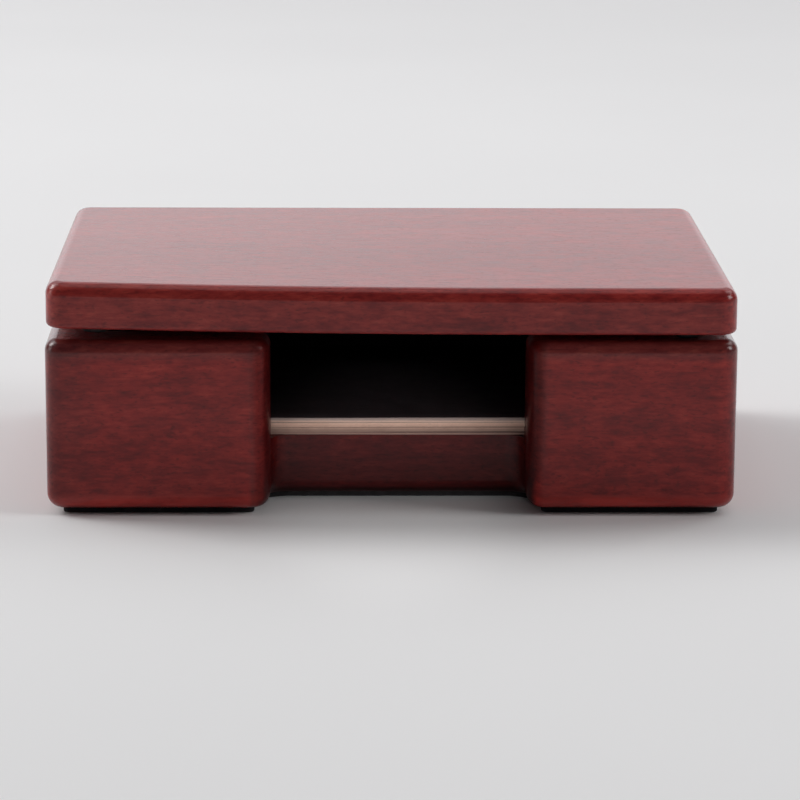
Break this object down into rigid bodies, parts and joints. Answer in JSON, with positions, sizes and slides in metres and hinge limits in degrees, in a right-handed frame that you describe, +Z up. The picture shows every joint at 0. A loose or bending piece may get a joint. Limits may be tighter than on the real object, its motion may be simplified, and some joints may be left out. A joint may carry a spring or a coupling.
{
  "type": "business card holder",
  "caption": "Wooden desk box for business cards with a hinged flat lid, a finger notch in the front and a felt-lined well",
  "frame": {"origin": "centre of the wooden block's footprint on the surface that the holder stands on", "axes": "+Z up; -Y towards the front with the finger notch; +X to the right seen from the front"},
  "size_m": [0.11, 0.0797, 0.0378],
  "materials": {
    "stained_wood": "dark red stain under satin lacquer, fine straight grain along X",
    "foot_pad": "thin dark felt, dull",
    "lining_felt": "black short-pile felt",
    "hinge_brass": "polished brass plate, light wear on the knuckles",
    "pin_steel": "drawn wire, peened ends",
    "screw_steel": "brass-plated steel, cross recess",
    "bumper_rubber": "dark soft rubber, satin",
    "card_stock": "uncoated cream card, cut edges"
  },
  "bodies": {
    "base": {"base_block": "stained_wood", "base_pad": "foot_pad", "well_floor_felt": "lining_felt", "well_wall_felt": "lining_felt", "hinge_left_base_leaf": "hinge_brass", "hinge_right_base_leaf": "hinge_brass", "hinge_left_pin": "pin_steel", "hinge_right_pin": "pin_steel", "base_hinge_screws": "screw_steel"},
    "lid": {"lid_board": "stained_wood", "lid_lining_felt": "lining_felt", "lid_bumper_left": "bumper_rubber", "lid_bumper_right": "bumper_rubber", "hinge_left_lid_leaf": "hinge_brass", "hinge_right_lid_leaf": "hinge_brass", "lid_hinge_screws": "screw_steel"},
    "cards": {"business_card_1": "card_stock", "business_card_2": "card_stock", "business_card_3": "card_stock", "business_card_4": "card_stock", "business_card_5": "card_stock", "business_card_6": "card_stock", "business_card_7": "card_stock"}
  },
  "joints": [
    {"name": "lid_hinge", "type": "hinge", "parent": "base", "child": "lid", "pos_m": [0, 0.0395, 0.02905], "axis": [-1, 0, 0], "range_deg": [0, 95]},
    {"name": "card_lift", "type": "slide", "parent": "base", "child": "cards", "axis": [0, 0, 1], "range_m": [0, 0.015]}
  ]
}
